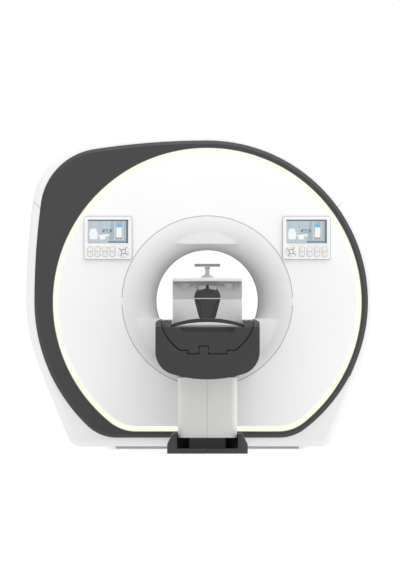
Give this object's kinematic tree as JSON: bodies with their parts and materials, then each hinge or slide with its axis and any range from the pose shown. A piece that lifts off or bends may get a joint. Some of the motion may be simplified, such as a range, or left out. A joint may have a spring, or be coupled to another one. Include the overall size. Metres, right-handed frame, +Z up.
{
  "type": "mri scanner",
  "caption": "Closed-bore MRI scanner: round-fronted gantry with flared bore and light ring, lifting patient table with sliding cradle, head coil with mirror, two touch panels.",
  "frame": {"origin": "on the floor, under the middle of the bore, on the underside of the floor frame", "axes": "+Y into the bore from the table side, +X to the right of someone who faces the machine, +Z up"},
  "size_m": [2.3638, 4.1, 2.141],
  "materials": {
    "painted_steel": "powder coated steel",
    "magnet_paint": "painted steel vessel",
    "bare_steel": "ground steel",
    "coil_resin": "cast epoxy resin",
    "bore_white": "satin moulded plastic",
    "bridge_grey": "glass fibre laminate",
    "face_white": "satin painted moulding",
    "light_diffuser": "lit milk acrylic",
    "graphite_paint": "satin graphite paint",
    "cover_white": "satin painted glass fibre moulding",
    "panel_white": "moulded plastic",
    "screen_glass": "printed cover glass",
    "key_silicone": "moulded silicone",
    "base_graphite": "moulded plastic",
    "table_graphite": "satin graphite paint on glass fibre",
    "column_grey": "satin paint, warm light grey",
    "cradle_laminate": "glass fibre laminate",
    "handle_rubber": "soft-touch coating",
    "mattress_vinyl": "coated fabric over foam",
    "coil_white": "moulded plastic",
    "foam_dark": "fabric covered foam",
    "stem_grey": "moulded plastic",
    "mirror_glass": "back silvered acrylic in a plastic tray"
  },
  "bodies": {
    "gantry": {"floor_frame": "painted_steel", "magnet_vessel": "magnet_paint", "cold_head": "bare_steel", "gradient_coil": "coil_resin", "rf_body_coil": "coil_resin", "bore_liner": "bore_white", "bore_bridge": "bridge_grey", "front_flare": "bore_white", "rear_flare": "bore_white", "front_face": "face_white", "light_strip": "light_diffuser", "dark_bezel": "graphite_paint", "front_skirt": "cover_white", "top_cover": "cover_white", "left_side_cover": "cover_white", "right_side_cover": "cover_white", "rear_cover": "cover_white", "front_cover_frame": "painted_steel", "rear_cover_frame": "painted_steel", "left_panel": "panel_white", "left_screen": "screen_glass", "right_panel": "panel_white", "right_screen": "screen_glass", "base_plate": "painted_steel", "base_left": "base_graphite", "base_right": "base_graphite", "lift_outer_stage": "bare_steel", "lift_spindle": "bare_steel"},
    "lift_column": {"lift_middle_stage": "bare_steel", "column_cover_left": "column_grey", "column_cover_right": "column_grey"},
    "table": {"lift_inner_stage": "bare_steel", "table_body": "table_graphite"},
    "cradle": {"cradle": "cradle_laminate", "cradle_end_cap": "table_graphite", "push_handle": "handle_rubber", "mattress": "mattress_vinyl", "coil_base": "coil_white", "coil_pad": "foam_dark"},
    "coil_top": {"coil_top": "coil_white", "mirror_stem": "stem_grey"},
    "mirror": {"mirror": "mirror_glass"},
    "left_rocker_key_1": {"left_rocker_key_1": "key_silicone"},
    "left_rocker_key_2": {"left_rocker_key_2": "key_silicone"},
    "left_rocker_key_3": {"left_rocker_key_3": "key_silicone"},
    "left_rocker_key_4": {"left_rocker_key_4": "key_silicone"},
    "left_arrow_right": {"left_arrow_right": "key_silicone"},
    "left_arrow_up": {"left_arrow_up": "key_silicone"},
    "left_arrow_left": {"left_arrow_left": "key_silicone"},
    "left_arrow_down": {"left_arrow_down": "key_silicone"},
    "left_centre_key": {"left_centre_key": "key_silicone"},
    "right_rocker_key_1": {"right_rocker_key_1": "key_silicone"},
    "right_rocker_key_2": {"right_rocker_key_2": "key_silicone"},
    "right_rocker_key_3": {"right_rocker_key_3": "key_silicone"},
    "right_rocker_key_4": {"right_rocker_key_4": "key_silicone"},
    "right_arrow_right": {"right_arrow_right": "key_silicone"},
    "right_arrow_up": {"right_arrow_up": "key_silicone"},
    "right_arrow_left": {"right_arrow_left": "key_silicone"},
    "right_arrow_down": {"right_arrow_down": "key_silicone"},
    "right_centre_key": {"right_centre_key": "key_silicone"}
  },
  "joints": [
    {"name": "table_lift", "type": "slide", "parent": "gantry", "child": "table", "axis": [0, 0, 1], "range_m": [-0.21, 0]},
    {"name": "column_lift", "type": "slide", "parent": "gantry", "child": "lift_column", "axis": [0, 0, 1], "range_m": [-0.0801, 0]},
    {"name": "cradle_slide", "type": "slide", "parent": "table", "child": "cradle", "axis": [0, 1, 0], "range_m": [0, 1.65]},
    {"name": "coil_top_lift", "type": "slide", "parent": "cradle", "child": "coil_top", "axis": [0, 0, -1], "range_m": [-0.15, 0]},
    {"name": "mirror_tilt", "type": "hinge", "parent": "coil_top", "child": "mirror", "pos_m": [0, -1.33, 1.224], "axis": [1, 0, 0], "range_deg": [-40, 40]},
    {"name": "left_rocker_key_1_rock", "type": "hinge", "parent": "gantry", "child": "left_rocker_key_1", "pos_m": [-0.7905, -0.893, 1.334], "axis": [1, 0, 0], "range_deg": [-3, 3], "stiffness_Nm_per_rad": 2},
    {"name": "left_rocker_key_2_rock", "type": "hinge", "parent": "gantry", "child": "left_rocker_key_2", "pos_m": [-0.74, -0.893, 1.334], "axis": [1, 0, 0], "range_deg": [-3, 3], "stiffness_Nm_per_rad": 2},
    {"name": "left_rocker_key_3_rock", "type": "hinge", "parent": "gantry", "child": "left_rocker_key_3", "pos_m": [-0.6895, -0.893, 1.334], "axis": [1, 0, 0], "range_deg": [-3, 3], "stiffness_Nm_per_rad": 2},
    {"name": "left_rocker_key_4_rock", "type": "hinge", "parent": "gantry", "child": "left_rocker_key_4", "pos_m": [-0.639, -0.893, 1.334], "axis": [1, 0, 0], "range_deg": [-3, 3], "stiffness_Nm_per_rad": 2},
    {"name": "left_arrow_right_press", "type": "slide", "parent": "gantry", "child": "left_arrow_right", "axis": [0, 1, 0], "range_m": [0, 0.0015], "stiffness_N_per_m": 600, "springref_m": -0.0005},
    {"name": "left_arrow_up_press", "type": "slide", "parent": "gantry", "child": "left_arrow_up", "axis": [0, 1, 0], "range_m": [0, 0.0015], "stiffness_N_per_m": 600, "springref_m": -0.0005},
    {"name": "left_arrow_left_press", "type": "slide", "parent": "gantry", "child": "left_arrow_left", "axis": [0, 1, 0], "range_m": [0, 0.0015], "stiffness_N_per_m": 600, "springref_m": -0.0005},
    {"name": "left_arrow_down_press", "type": "slide", "parent": "gantry", "child": "left_arrow_down", "axis": [0, 1, 0], "range_m": [0, 0.0015], "stiffness_N_per_m": 600, "springref_m": -0.0005},
    {"name": "left_centre_key_press", "type": "slide", "parent": "gantry", "child": "left_centre_key", "axis": [0, 1, 0], "range_m": [0, 0.0015], "stiffness_N_per_m": 600, "springref_m": -0.0005},
    {"name": "right_rocker_key_1_rock", "type": "hinge", "parent": "gantry", "child": "right_rocker_key_1", "pos_m": [0.7905, -0.893, 1.334], "axis": [1, 0, 0], "range_deg": [-3, 3], "stiffness_Nm_per_rad": 2},
    {"name": "right_rocker_key_2_rock", "type": "hinge", "parent": "gantry", "child": "right_rocker_key_2", "pos_m": [0.74, -0.893, 1.334], "axis": [1, 0, 0], "range_deg": [-3, 3], "stiffness_Nm_per_rad": 2},
    {"name": "right_rocker_key_3_rock", "type": "hinge", "parent": "gantry", "child": "right_rocker_key_3", "pos_m": [0.6895, -0.893, 1.334], "axis": [1, 0, 0], "range_deg": [-3, 3], "stiffness_Nm_per_rad": 2},
    {"name": "right_rocker_key_4_rock", "type": "hinge", "parent": "gantry", "child": "right_rocker_key_4", "pos_m": [0.639, -0.893, 1.334], "axis": [1, 0, 0], "range_deg": [-3, 3], "stiffness_Nm_per_rad": 2},
    {"name": "right_arrow_right_press", "type": "slide", "parent": "gantry", "child": "right_arrow_right", "axis": [0, 1, 0], "range_m": [0, 0.0015], "stiffness_N_per_m": 600, "springref_m": -0.0005},
    {"name": "right_arrow_up_press", "type": "slide", "parent": "gantry", "child": "right_arrow_up", "axis": [0, 1, 0], "range_m": [0, 0.0015], "stiffness_N_per_m": 600, "springref_m": -0.0005},
    {"name": "right_arrow_left_press", "type": "slide", "parent": "gantry", "child": "right_arrow_left", "axis": [0, 1, 0], "range_m": [0, 0.0015], "stiffness_N_per_m": 600, "springref_m": -0.0005},
    {"name": "right_arrow_down_press", "type": "slide", "parent": "gantry", "child": "right_arrow_down", "axis": [0, 1, 0], "range_m": [0, 0.0015], "stiffness_N_per_m": 600, "springref_m": -0.0005},
    {"name": "right_centre_key_press", "type": "slide", "parent": "gantry", "child": "right_centre_key", "axis": [0, 1, 0], "range_m": [0, 0.0015], "stiffness_N_per_m": 600, "springref_m": -0.0005}
  ],
  "couplings": [
    {"joint": "column_lift", "follows": "table_lift", "ratio": 0.38095}
  ]
}
